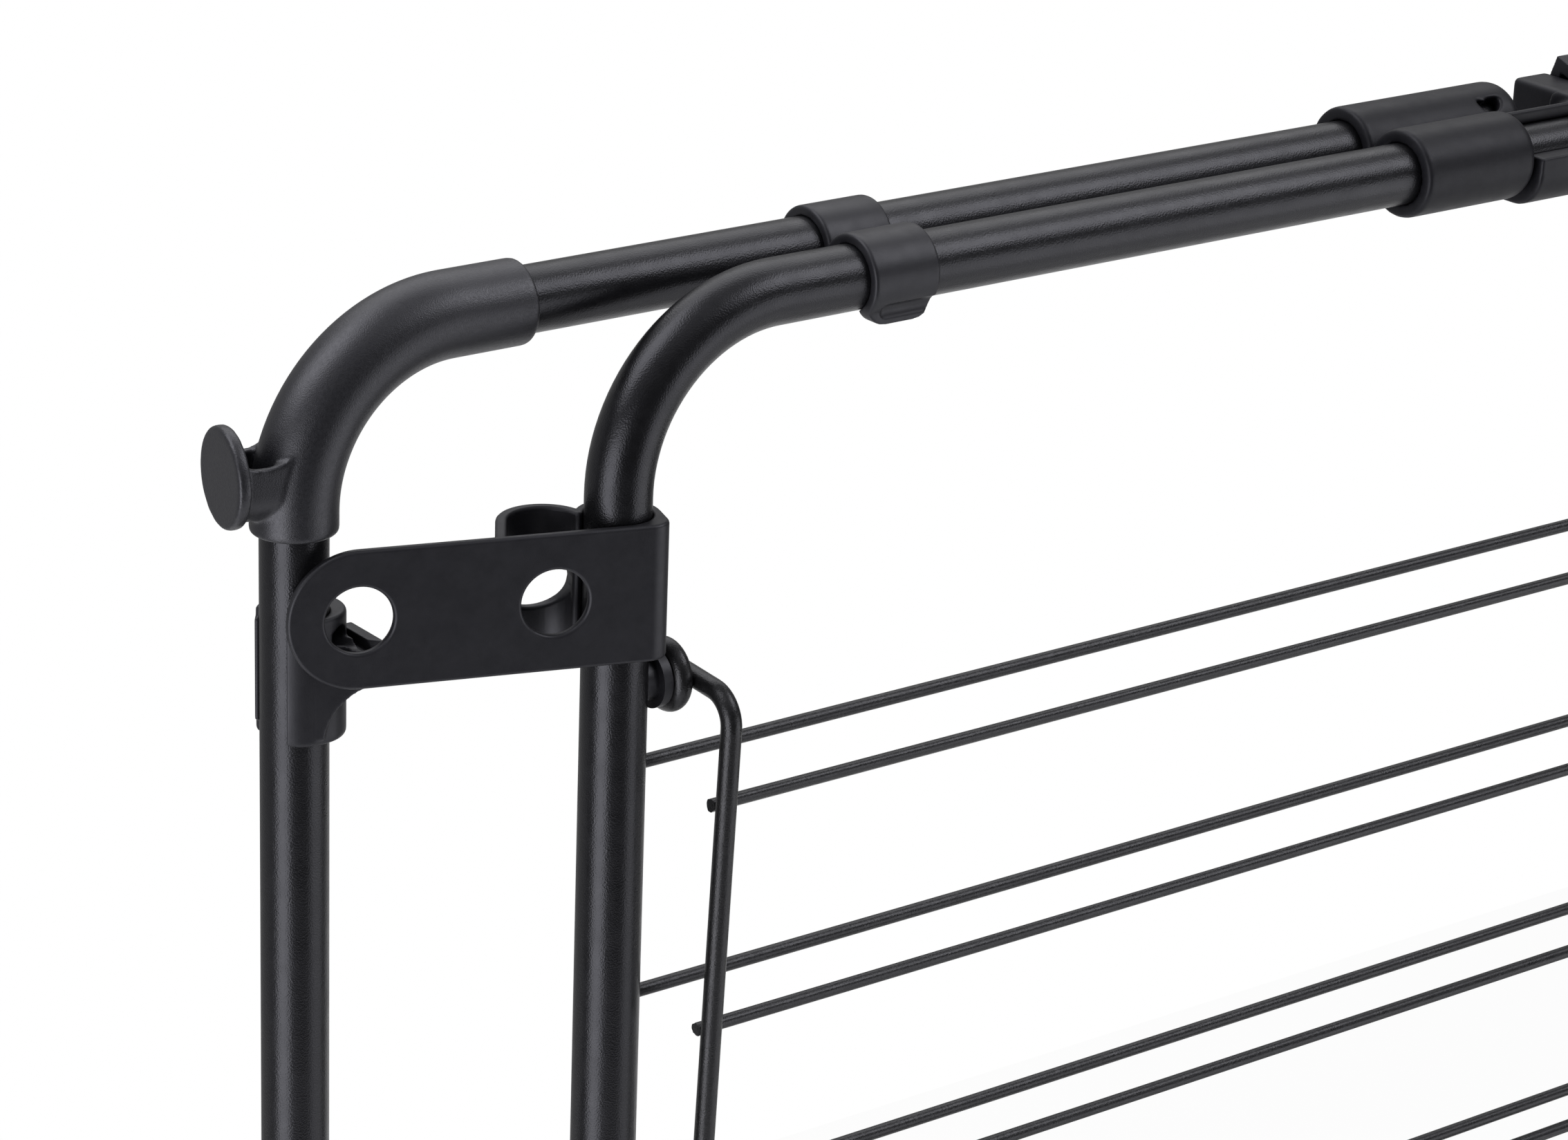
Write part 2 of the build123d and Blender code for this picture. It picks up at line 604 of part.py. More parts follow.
for index in range(wing_line_count):
    wing_z = pivot_z - wing_first - line_pitch * index
    wing_y = bed_y - wing_out + wire_r + line_r + weld_gap
    half = wing_x + wire_r - line_short
    wing_line = rod((-half, wing_y, wing_z), (1, 0, 0), 2 * half, line_r)
    add(f"wing_line_{index + 1}", wing_line.rotate(tilt_axis, wing_tilt))

# Hanger plates: a sleeve round the bed's post, open to a second hollow beside it, behind a flat blade.
# The profile is drawn with the post at the origin, +X along the blade and +Y to its front.
plate_wall = 2.4
plate_r = plate_bore + plate_wall
plate_corner = 5.0
lobe_step = 17.8          # post to the second hollow
lobe_foot = 31.8          # post to where that hollow's wall meets the blade
lobe_bore = tube_r + 0.5
lobe_wall = 2.7
catch_front = -2.0        # tip of the catch between the two hollows
hole_short = 12.38        # the far hole before the wall frame's post
far_hole = post_apart - hole_short
plate_end = far_hole + plate_tall / 2


def lobe(radius, foot):
    run = math.hypot(foot - lobe_step, plate_bore)
    turn = math.atan2(plate_bore, foot - lobe_step) - math.acos(radius / run)
    touch = (lobe_step + radius * math.cos(turn), radius * math.sin(turn))
    side = Polyline((lobe_step, 0), touch, (foot, plate_bore), (lobe_step, plate_bore), close=True)
    behind_blade = Pos(lobe_step, plate_bore - plate_end / 2) * Rectangle(plate_end, plate_end)
    return (Pos(lobe_step, 0) * Circle(radius) + make_face(side)) & behind_blade


end_square = Pos(-plate_r / 2, plate_r / 2) * Rectangle(plate_r, plate_r)
outer_corner = end_square.vertices().group_by(Axis.X)[0].sort_by(Axis.Y)[-1]
end_square = fillet(outer_corner, radius=plate_corner)
profile = Circle(plate_r) + end_square + lobe(lobe_bore + lobe_wall, lobe_foot)
profile += Pos(plate_end / 2, plate_bore + plate_wall / 2) * Rectangle(plate_end, plate_wall)
profile -= lobe(lobe_bore, lobe_foot - lobe_wall)
passage = plate_bore - catch_front
profile -= Pos(lobe_step / 2, catch_front + passage / 2) * Rectangle(lobe_step, passage)
profile -= Circle(plate_bore)
plate = extrude(profile, amount=plate_tall).translate(Vector(0, 0, -plate_tall / 2))
blade_keep = block(-far, far_hole, -far, far, -plate_tall, plate_tall)
blade_keep += rod((far_hole, -far, 0), (0, 1, 0), 2 * far, plate_tall / 2)
plate = plate & blade_keep
for hole_x in (lobe_step, far_hole):
    plate -= rod((hole_x, -far, 0), (0, 1, 0), 2 * far, plate_hole_d / 2)
plate = plate.rotate(Axis.Z, 180 - math.degrees(aim))
plate = plate.translate(Vector(-bed_half, bed_y, plate_mid))
add_pair("hanger_plate", plate)

for name, shape in pieces.items():
    export_step(shape, "parts/" + name + ".step")
print(len(pieces), "pieces")
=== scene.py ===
import math
import bmesh
import bpy
from mathutils import Matrix, Vector


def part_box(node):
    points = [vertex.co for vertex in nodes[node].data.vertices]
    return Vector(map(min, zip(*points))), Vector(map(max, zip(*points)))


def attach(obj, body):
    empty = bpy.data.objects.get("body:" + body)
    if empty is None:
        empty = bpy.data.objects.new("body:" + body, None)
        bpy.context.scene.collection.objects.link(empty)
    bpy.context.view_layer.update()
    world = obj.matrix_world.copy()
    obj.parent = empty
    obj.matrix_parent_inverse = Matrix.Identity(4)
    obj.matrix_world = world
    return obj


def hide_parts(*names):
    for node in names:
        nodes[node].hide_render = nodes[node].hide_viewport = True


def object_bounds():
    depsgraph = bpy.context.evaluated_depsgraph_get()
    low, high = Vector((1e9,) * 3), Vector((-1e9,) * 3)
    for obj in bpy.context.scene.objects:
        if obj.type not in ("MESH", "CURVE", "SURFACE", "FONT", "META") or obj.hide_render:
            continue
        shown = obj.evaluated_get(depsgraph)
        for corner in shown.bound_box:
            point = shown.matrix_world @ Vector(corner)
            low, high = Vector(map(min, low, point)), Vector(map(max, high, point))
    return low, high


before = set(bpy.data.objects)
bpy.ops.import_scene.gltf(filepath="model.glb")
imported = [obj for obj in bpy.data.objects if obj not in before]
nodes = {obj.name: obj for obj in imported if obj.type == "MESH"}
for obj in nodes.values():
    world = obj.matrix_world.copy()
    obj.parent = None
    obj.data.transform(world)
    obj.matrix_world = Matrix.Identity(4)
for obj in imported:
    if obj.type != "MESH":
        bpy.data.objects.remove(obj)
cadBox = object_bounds()
bothSides = ("left", "right")
print("frame loaded:", len(nodes), "nodes")


# materials: noise varies the tone and the gloss, and the fine grain is bump

patternSettings = {"noiseLow": 0.3, "noiseHigh": 0.7, "detail": 3.0}


def noiseOn(tree, place, scale, detail):
    noise = tree.nodes.new("ShaderNodeTexNoise")
    noise.inputs["Scale"].default_value = scale
    noise.inputs["Detail"].default_value = detail
    tree.links.new(place, noise.inputs["Vector"])
    return noise.outputs["Fac"]


def pebblesOn(tree, place, scale, softness):
    pebbles = tree.nodes.new("ShaderNodeTexVoronoi")
    pebbles.feature = "SMOOTH_F1"
    pebbles.inputs["Scale"].default_value = scale
    pebbles.inputs["Smoothness"].default_value = softness
    tree.links.new(place, pebbles.inputs["Vector"])
    return pebbles.outputs["Distance"]


def spread(tree, value, low, high):
    mapped = tree.nodes.new("ShaderNodeMapRange")
    mapped.inputs["From Min"].default_value = patternSettings["noiseLow"]
    mapped.inputs["From Max"].default_value = patternSettings["noiseHigh"]
    mapped.inputs["To Min"].default_value = low
    mapped.inputs["To Max"].default_value = high
    tree.links.new(value, mapped.inputs["Value"])
    return mapped.outputs["Result"]


def tint(tree, value, dark, light):
    ramp = tree.nodes.new("ShaderNodeValToRGB")
    darkEnd, lightEnd = ramp.color_ramp.elements
    darkEnd.position = patternSettings["noiseLow"]
    darkEnd.color = (*dark, 1.0)
    lightEnd.position = patternSettings["noiseHigh"]
    lightEnd.color = (*light, 1.0)
    tree.links.new(value, ramp.inputs["Fac"])
    return ramp.outputs["Color"]


def bumpOn(tree, height, strength, depth):
    bump = tree.nodes.new("ShaderNodeBump")
    bump.inputs["Strength"].default_value = strength
    bump.inputs["Distance"].default_value = depth
    tree.links.new(height, bump.inputs["Height"])
    return bump.outputs["Normal"]


def finishMaterial(spec):
    mat = bpy.data.materials.new(spec["name"])
    mat.use_nodes = True
    tree = mat.node_tree
    shader = tree.nodes["Principled BSDF"]
    place = tree.nodes.new("ShaderNodeTexCoord").outputs["Object"]
    tone = noiseOn(tree, place, spec["toneScale"], patternSettings["detail"])
    tree.links.new(tint(tree, tone, spec["dark"], spec["light"]), shader.inputs["Base Color"])
    gloss = noiseOn(tree, place, spec["glossScale"], patternSettings["detail"])
    tree.links.new(spread(tree, gloss, *spec["roughness"]), shader.inputs["Roughness"])
    if "pebbleSoftness" in spec:
        grain = pebblesOn(tree, place, spec["grainScale"], spec["pebbleSoftness"])
    else:
        grain = noiseOn(tree, place, spec["grainScale"], spec["grainDetail"])
    normal = bumpOn(tree, grain, spec["grainStrength"], spec["grainDepth"])
    tree.links.new(normal, shader.inputs["Normal"])
    shader.inputs["Specular IOR Level"].default_value = spec["specular"]
    shader.inputs["Specular Tint"].default_value = (*spec["specularTint"], 1.0)
    return mat


finishes = {
    "tubeCoat": {
        "name": "satin_powder_coat",
        "dark": (0.0036, 0.0036, 0.0042), "light": (0.0058, 0.0058, 0.0066), "toneScale": 700.0,
        "roughness": (0.27, 0.35), "glossScale": 160.0,
        "specular": 0.5, "specularTint": (0.89, 0.89, 1.0),
        "grainScale": 2500.0, "pebbleSoftness": 0.5, "grainStrength": 1.0, "grainDepth": 0.00004,
    },
    "wireCoat": {
        "name": "thin_wire_coat",
        "dark": (0.0060, 0.0060, 0.0064), "light": (0.0095, 0.0095, 0.0100), "toneScale": 700.0,
        "roughness": (0.26, 0.36), "glossScale": 260.0,
        "specular": 0.5, "specularTint": (0.92, 0.92, 1.0),
        "grainScale": 2800.0, "grainDetail": 1.0, "grainStrength": 1.0, "grainDepth": 0.00007,
    },
    "coverPlastic": {
        "name": "spark_grained_cover",
        "dark": (0.0058, 0.0058, 0.0074), "light": (0.0086, 0.0086, 0.0108), "toneScale": 1400.0,
        "roughness": (0.36, 0.46), "glossScale": 1500.0,
        "specular": 0.78, "specularTint": (0.90, 0.90, 1.0),
        "grainScale": 3300.0, "pebbleSoftness": 0.4, "grainStrength": 1.0, "grainDepth": 0.000032,
    },
    "grainedPlastic": {
        "name": "spark_grained_plastic",
        "dark": (0.0095, 0.0095, 0.0106), "light": (0.0132, 0.0132, 0.0148), "toneScale": 1100.0,
        "roughness": (0.54, 0.64), "glossScale": 500.0,
        "specular": 0.4, "specularTint": (0.95, 0.95, 1.0),
        "grainScale": 2300.0, "grainDetail": 2.5, "grainStrength": 0.7, "grainDepth": 0.00010,
    },
    "satinPlastic": {
        "name": "satin_moulded_plastic",
        "dark": (0.0092, 0.0092, 0.0115), "light": (0.0122, 0.0122, 0.0150), "toneScale": 500.0,
        "roughness": (0.40, 0.47), "glossScale": 200.0,
        "specular": 0.5, "specularTint": (0.90, 0.90, 1.0),
        "grainScale": 3000.0, "grainDetail": 2.0, "grainStrength": 0.3, "grainDepth": 0.00006,
    },
    "sleevePlastic": {
        "name": "satin_sleeve_plastic",
        "dark": (0.0062, 0.0062, 0.0082), "light": (0.0086, 0.0086, 0.0112), "toneScale": 500.0,
        "roughness": (0.42, 0.49), "glossScale": 200.0,
        "specular": 0.31, "specularTint": (0.90, 0.90, 1.0),
        "grainScale": 3000.0, "grainDetail": 2.0, "grainStrength": 0.3, "grainDepth": 0.00006,
    },
    "softCap": {
        "name": "soft_end_cap",
        "dark": (0.0130, 0.0130, 0.0134), "light": (0.0180, 0.0180, 0.0186), "toneScale": 600.0,
        "roughness": (0.66, 0.78), "glossScale": 150.0,
        "specular": 0.4, "specularTint": (1.0, 1.0, 1.0),
        "grainScale": 2600.0, "grainDetail": 3.0, "grainStrength": 0.4, "grainDepth": 0.00012,
    },
    "darkSteel": {
        "name": "blackened_steel_pin",
        "dark": (0.0200, 0.0200, 0.0210), "light": (0.0320, 0.0320, 0.0335), "toneScale": 800.0,
        "roughness": (0.28, 0.38), "glossScale": 300.0,
        "specular": 0.6, "specularTint": (1.0, 1.0, 1.0),
        "grainScale": 2400.0, "grainDetail": 2.0, "grainStrength": 0.2, "grainDepth": 0.00006,
    },
}
skin = {key: finishMaterial(spec) for key, spec in finishes.items()}
print("materials:", len(skin))


# mesh helpers

def addObject(name, data):
    obj = bpy.data.objects.new(name, data)
    bpy.context.scene.collection.objects.link(obj)
    return obj


# puts a plain mesh in place of an object's curve or modifiers
def plainMesh(obj):
    graph = bpy.context.evaluated_depsgraph_get()
    made = bpy.data.meshes.new_from_object(obj.evaluated_get(graph))
    obj.modifiers.clear()
    if obj.type == "MESH":
        obj.data = made
        return obj
    name = obj.name
    curve = obj.data
    fresh = addObject(name + "_mesh", made)
    bpy.data.objects.remove(obj)
    bpy.data.curves.remove(curve)
    fresh.name = name
    return fresh


def carry(obj, body, slot, *stoodFor):
    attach(obj, body)
    if stoodFor:
        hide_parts(*stoodFor)


def dress(nodeName, mat):
    data = nodes[nodeName].data
    data.materials.clear()
    data.materials.append(mat)


# node trees

def newTree(name, inputs):
    tree = bpy.data.node_groups.new(name, "GeometryNodeTree")
    for label, kind in inputs:
        tree.interface.new_socket(label, in_out="INPUT", socket_type="NodeSocket" + kind)
    tree.interface.new_socket("Geometry", in_out="OUTPUT", socket_type="NodeSocketGeometry")
    source = tree.nodes.new("NodeGroupInput")
    sink = tree.nodes.new("NodeGroupOutput")

    def add(kind, links=(), **settings):
        node = tree.nodes.new(kind)
        for key, value in settings.items():
            setattr(node, key, value)
        for socket, value in dict(links).items():
            target = node.inputs[socket]
            if isinstance(value, bpy.types.NodeSocket):
                tree.links.new(value, target)
            else:
                target.default_value = value
        return node

    def close(geometry):
        real = add("GeometryNodeRealizeInstances", {"Geometry": geometry})
        smooth = add("GeometryNodeSetShadeSmooth", {"Geometry": real.outputs[0]})
        coat = add("GeometryNodeSetMaterial", {
            "Geometry": smooth.outputs[0], "Material": source.outputs["Finish"],
        })
        tree.links.new(coat.outputs[0], sink.inputs[0])

    return tree, source.outputs, add, close


def useTree(obj, tree, values):
    modifier = obj.modifiers.new(tree.name, "NODES")
    modifier.node_group = tree
    for item in tree.interface.items_tree:
        if item.in_out == "INPUT" and item.name in values:
            modifier[item.identifier] = values[item.name]
    return plainMesh(obj)


# a closed round bar along a curve
def roundBar(add, given, curve):
    ring = add("GeometryNodeCurvePrimitiveCircle", {
        "Resolution": given["Sides"], "Radius": given["Radius"],
    })
    bar = add("GeometryNodeCurveToMesh", {
        "Curve": curve, "Profile Curve": ring.outputs[0], "Fill Caps": True,
    })
    return bar.outputs[0]


# the middles of a row of wires
def rowPlaces(add, given):
    places = add("GeometryNodeMeshLine", {
        "Count": given["Count"], "Start Location": given["First"], "Offset": given["Step"],
    })
    return places.outputs[0]


# the same reach to the left and to the right along X
def bothWays(add, reach):
    back = add("ShaderNodeMath", {0: reach, 1: -1.0}, operation="MULTIPLY")
    left = add("ShaderNodeCombineXYZ", {"X": back.outputs[0]})
    right = add("ShaderNodeCombineXYZ", {"X": reach})
    return left.outputs[0], right.outputs[0]


lumpSettings = {"detail": 2.0, "noiseMiddle": (0.5, 0.5, 0.5)}


def lumpy(add, given, geometry):
    solid = add("GeometryNodeRealizeInstances", {"Geometry": geometry})
    spot = add("GeometryNodeInputPosition")
    lumps = add("ShaderNodeTexNoise", {
        "Vector": spot.outputs[0], "W": given["Seed"], "Scale": given["Lump scale"],
        "Detail": lumpSettings["detail"],
    }, noise_dimensions="4D")
    centred = add("ShaderNodeVectorMath", {
        0: lumps.outputs["Color"], 1: lumpSettings["noiseMiddle"],
    }, operation="SUBTRACT")
    shift = add("ShaderNodeVectorMath", {
        0: centred.outputs[0], "Scale": given["Lump height"],
    }, operation="SCALE")
    moved = add("GeometryNodeSetPosition", {"Geometry": solid.outputs[0], "Offset": shift.outputs[0]})
    return moved.outputs[0]


# a round tube along a path with rounded corners
barTree, given, add, close = newTree("barAlongPath", [
    ("Path", "Geometry"), ("Radius", "Float"), ("Bend", "Float"), ("Bend steps", "Int"),
    ("Sides", "Int"), ("Finish", "Material"),
])
bent = add("GeometryNodeFilletCurve", {
    "Curve": given["Path"], "Radius": given["Bend"], "Count": given["Bend steps"],
}, mode="POLY")
close(roundBar(add, given, bent.outputs[0]))

# a row of straight wires along X, with ragged cut ends
rowTree, given, add, close = newTree("wireRow", [
    ("Start", "Geometry"), ("First", "Vector"), ("Step", "Vector"), ("Count", "Int"),
    ("Half length", "Float"), ("Radius", "Float"), ("Sides", "Int"),
    ("Lump height", "Float"), ("Lump scale", "Float"), ("Seed", "Float"), ("Finish", "Material"),
])
leftEnd, rightEnd = bothWays(add, given["Half length"])
axis = add("GeometryNodeCurvePrimitiveLine", {"Start": leftEnd, "End": rightEnd})
row = add("GeometryNodeInstanceOnPoints", {
    "Points": rowPlaces(add, given), "Instance": roundBar(add, given, axis.outputs[0]),
})
close(lumpy(add, given, row.outputs[0]))

# small weld beads at both ends of a row of wires
beadTree, given, add, close = newTree("weldBeads", [
    ("Start", "Geometry"), ("First", "Vector"), ("Step", "Vector"), ("Count", "Int"),
    ("Half apart", "Float"), ("Radius", "Float"), ("Flatness", "Float"), ("Fineness", "Int"),
    ("Lump height", "Float"), ("Lump scale", "Float"), ("Seed", "Float"), ("Finish", "Material"),
])
places = rowPlaces(add, given)
toLeft, toRight = bothWays(add, given["Half apart"])
leftEnds = add("GeometryNodeSetPosition", {"Geometry": places, "Offset": toLeft})
rightEnds = add("GeometryNodeSetPosition", {"Geometry": places, "Offset": toRight})
bothEnds = add("GeometryNodeJoinGeometry", {"Geometry": leftEnds.outputs[0]})
beadTree.links.new(rightEnds.outputs[0], bothEnds.inputs[0])
ball = add("GeometryNodeMeshIcoSphere", {
    "Radius": given["Radius"], "Subdivisions": given["Fineness"],
})
flattened = add("ShaderNodeCombineXYZ", {"X": given["Flatness"], "Y": 1.0, "Z": 1.0})
beads = add("GeometryNodeInstanceOnPoints", {
    "Points": bothEnds.outputs[0], "Instance": ball.outputs[0], "Scale": flattened.outputs[0],
})
close(lumpy(add, given, beads.outputs[0]))
print("node trees:", len(bpy.data.node_groups))


# bent tubes of both frames

tubeSettings = {
    "radius": 0.008, "frameBend": 0.040, "bedBend": 0.0425, "sides": 56, "bendSteps": 28,
}


def pathCurve(name, points):
    data = bpy.data.curves.new(name, "CURVE")
    data.dimensions = "3D"
    spline = data.splines.new("POLY")
    spline.points.add(len(points) - 1)
    for point, place in zip(spline.points, points):
        point.co = (*place, 1.0)
    return addObject(name, data)


def bentTube(nodeName, body, bend):
    low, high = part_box(nodeName)
    left = nodeName.endswith("left")
    radius = tubeSettings["radius"]
    postX = low.x + radius if left else high.x - radius
    innerX = high.x if left else low.x
    middleY = (low.y + high.y) / 2
    barZ = high.z - radius
    points = [(postX, middleY, low.z), (postX, middleY, barZ), (innerX, middleY, barZ)]
    tube = useTree(pathCurve(nodeName + "_coated", points), barTree, {
        "Radius": radius, "Bend": bend, "Bend steps": tubeSettings["bendSteps"],
        "Sides": tubeSettings["sides"], "Finish": skin["tubeCoat"],
    })
    carry(tube, body, "coated_tube", nodeName)


for side in bothSides:
    bentTube("frame_tube_" + side, "wall_frame", tubeSettings["frameBend"])
    bentTube("bed_tube_" + side, "bed", tubeSettings["bedBend"])
print("bent tubes done")


# drying lines

lineSettings = {
    "bed": {
        "count": 9, "sides": 24, "ragged": 0.0, "seed": 3.0,
        "beadIn": 0.0, "beadBack": 0.0, "beadSize": 1.22,
    },
    "wing": {
        "count": 5, "sides": 24, "ragged": 0.0011, "seed": 8.0,
        "beadIn": 0.00135, "beadBack": 0.0016, "beadSize": 0.8,
    },
    "raggedScale": 520.0, "beadFlatness": 0.5, "beadFineness": 4,
    "beadLumps": 0.0006, "beadLumpScale": 900.0,
}


def wireRow(body):
    spec = lineSettings[body]
    count = spec["count"]
    names = [f"{body}_line_{index + 1}" for index in range(count)]
    low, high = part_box(names[0])
    lastLow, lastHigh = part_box(names[-1])
    first = (low + high) / 2
    step = ((lastLow + lastHigh) / 2 - first) / (count - 1)
    halfLength = (high.x - low.x) / 2
    radius = (high.z - low.z) / 2
    lines = useTree(addObject(body + "_lines", bpy.data.meshes.new(body + "_lines")), rowTree, {
        "First": first, "Step": step, "Count": count, "Half length": halfLength, "Radius": radius,
        "Sides": spec["sides"], "Lump height": spec["ragged"], "Lump scale": lineSettings["raggedScale"],
        "Seed": spec["seed"], "Finish": skin["wireCoat"],
    })
    carry(lines, body, "coated_wire", *names)
    beadFirst = first - Vector((0.0, spec["beadBack"], 0.0))
    beads = useTree(addObject(body + "_welds", bpy.data.meshes.new(body + "_welds")), beadTree, {
        "First": beadFirst, "Step": step, "Count": count, "Half apart": halfLength - spec["beadIn"],
        "Radius": radius * spec["beadSize"], "Flatness": lineSettings["beadFlatness"],
        "Fineness": lineSettings["beadFineness"], "Lump height": lineSettings["beadLumps"],
        "Lump scale": lineSettings["beadLumpScale"], "Seed": spec["seed"], "Finish": skin["wireCoat"],
    })
    carry(beads, body, "coated_wire")


for body in ("bed", "wing"):
    wireRow(body)
print("drying lines done")


# moulded pieces: merged copies of the frame's solids with their edges rounded

mergeSettings = {"distance": 2e-6, "flatDegrees": 0.3}


def mergedCopy(nodeName, mat):
    mesh = nodes[nodeName].data.copy()
    mesh.name = nodeName + "_moulded"
    work = bmesh.new()
    work.from_mesh(mesh)
    bmesh.ops.remove_doubles(work, verts=work.verts, dist=mergeSettings["distance"])
    flatAngle = math.radians(mergeSettings["flatDegrees"])
    bmesh.ops.dissolve_limit(work, angle_limit=flatAngle, verts=work.verts, edges=work.edges)
    work.to_mesh(mesh)
    work.free()
    if mesh.attributes.get("custom_normal"):
        mesh.attributes.remove(mesh.attributes["custom_normal"])
    mesh.materials.clear()
    mesh.materials.append(mat)
    return addObject(mesh.name, mesh)


# crisp pieces keep their flat faces, and each edge gets a small round
crispPieces = {
    "pivot_spacer": {"finish": "satinPlastic", "width": 0.0003, "clamp": True},
    "hanger_plate": {"finish": "satinPlastic", "width": 0.0009, "clamp": False},
}
crispSettings = {"segments": 3, "roundAboveDegrees": 28.0, "sharpAboveDegrees": 40.0}


def crispPiece(nodeName, body, spec):
    piece = mergedCopy(nodeName, skin[spec["finish"]])
    rounding = piece.modifiers.new("rounding", "BEVEL")
    rounding.width = spec["width"]
    rounding.segments = crispSettings["segments"]
    rounding.limit_method = "ANGLE"
    rounding.angle_limit = math.radians(crispSettings["roundAboveDegrees"])
    rounding.use_clamp_overlap = spec["clamp"]
    plainMesh(piece)
    piece.data.shade_smooth()
    piece.data.set_sharp_from_angle(angle=math.radians(crispSettings["sharpAboveDegrees"]))
    flatFaces = piece.modifiers.new("flat_faces", "WEIGHTED_NORMAL")
    flatFaces.keep_sharp = True
    plainMesh(piece)
    carry(piece, body, "black_plastic", nodeName)


# the finger scoop of a bar clip runs out of the clip's side nearest the middle of the rack
scoopSettings = {
    "out": 0.72, "outMore": 0.00185, "drop": 0.715, "radius": 0.0025, "past": 0.001, "sides": 40,
}


def scoopTool(nodeName):
    low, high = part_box(nodeName)
    middle = (low + high) / 2
    clipRadius = (high.z - low.z) / 2
    past = scoopSettings["past"]
    endX = high.x + past if middle.x < 0 else low.x - past
    y = middle.y - scoopSettings["out"] * clipRadius - scoopSettings["outMore"]
    z = middle.z - scoopSettings["drop"] * clipRadius
    place = Matrix.Translation(((middle.x + endX) / 2, y, z)) @ Matrix.Rotation(math.pi / 2, 4, "Y")
    radius = scoopSettings["radius"]
    work = bmesh.new()
    bmesh.ops.create_cone(
        work, cap_ends=True, segments=scoopSettings["sides"], radius1=radius, radius2=radius,
        depth=abs(endX - middle.x), matrix=place,
    )
    mesh = bpy.data.meshes.new("scoop_tool")
    work.to_mesh(mesh)
    work.free()
    return addObject("scoop_tool", mesh)


def cutScoop(piece, nodeName):
    tool = scoopTool(nodeName)
    scoop = piece.modifiers.new("scoop", "BOOLEAN")
    scoop.operation = "DIFFERENCE"
    scoop.object = tool
    plainMesh(piece)
    bpy.data.objects.remove(tool)


# soft pieces get a fine even grid, and passes of smoothing ease every edge
softPairs = {
    "corner_hook": {"body": "wall_frame", "finish": "coverPlastic", "grid": 0.00045, "passes": 10},
    "post_clip": {"body": "wall_frame", "finish": "satinPlastic", "grid": 0.00032, "passes": 8},
    "frame_clip": {
        "body": "wall_frame", "finish": "satinPlastic", "grid": 0.00030, "passes": 7, "scoop": True,
    },
    "bed_clip": {"body": "bed", "finish": "satinPlastic", "grid": 0.00030, "passes": 7, "scoop": True},
    "frame_sleeve": {"body": "wall_frame", "finish": "sleevePlastic", "grid": 0.00055, "passes": 8},
    "bed_sleeve": {"body": "bed", "finish": "sleevePlastic", "grid": 0.00055, "passes": 8},
    "upper_bracket": {"body": "wall_frame", "finish": "grainedPlastic", "grid": 0.00070, "passes": 6},
    "lower_bracket": {"body": "wall_frame", "finish": "grainedPlastic", "grid": 0.00090, "passes": 5},
    "hinge_knuckle": {"body": "bed", "finish": "grainedPlastic", "grid": 0.00060, "passes": 5},
}
softSingles = {
    "centre_block": {"body": "bed", "finish": "sleevePlastic", "grid": 0.00055, "passes": 7},
    "latch_lever": {"body": "latch", "finish": "satinPlastic", "grid": 0.00032, "passes": 6},
}
easeStrength = 0.5


def softPiece(nodeName, spec):
    mat = skin[spec["finish"]]
    piece = mergedCopy(nodeName, mat)
    if spec.get("scoop"):
        cutScoop(piece, nodeName)
    fine = piece.modifiers.new("fine_grid", "REMESH")
    fine.mode = "VOXEL"
    fine.voxel_size = spec["grid"]
    ease = piece.modifiers.new("ease", "SMOOTH")
    ease.factor = easeStrength
    ease.iterations = spec["passes"]
    plainMesh(piece)
    piece.data.shade_smooth()
    piece.data.materials.clear()
    piece.data.materials.append(mat)
    carry(piece, spec["body"], "black_plastic", nodeName)


for side in bothSides:
    for stem, spec in softPairs.items():
        softPiece(f"{stem}_{side}", spec)
    crispPiece("pivot_spacer_" + side, "bed", crispPieces["pivot_spacer"])
    crispPiece("hanger_plate_" + side, "hanger_" + side, crispPieces["hanger_plate"])
for name, spec in softSingles.items():
    softPiece(name, spec)
print("moulded pieces done")


# pieces whose solid is already right

finishOfPair = {
    "hinge_cap": "satinPlastic", "hinge_sleeve": "satinPlastic", "tail_cap": "softCap",
    "pivot_pin": "darkSteel",
}
finishOfSingle = {
    "frame_joiner": "darkSteel", "bed_joiner": "tubeCoat", "latch_pin": "darkSteel",
    "cross_tube": "tubeCoat", "hinge_rod": "darkSteel", "wing_frame": "wireCoat",
}
for stem, finish in finishOfPair.items():
    for side in bothSides:
        dress(f"{stem}_{side}", skin[finish])
for name, finish in finishOfSingle.items():
    dress(name, skin[finish])
print("finishes on the frame's own pieces done")


# floor, light and background

def mathOn(tree, operation, first, second):
    node = tree.nodes.new("ShaderNodeMath")
    node.operation = operation
    for index, value in enumerate((first, second)):
        if isinstance(value, float):
            node.inputs[index].default_value = value
        else:
            tree.links.new(value, node.inputs[index])
    return node.outputs[0]


def mirrorRays(tree, ray):
    return mathOn(tree, "MAXIMUM", ray.outputs["Is Glossy Ray"], ray.outputs["Is Transmission Ray"])


floorSettings = {
    "drop": 0.03, "halfWide": 1.0, "front": -1.08, "back": 0.72,
    "color": (0.82, 0.82, 0.82), "white": 0.93, "mirrorWhite": 0.2,
}


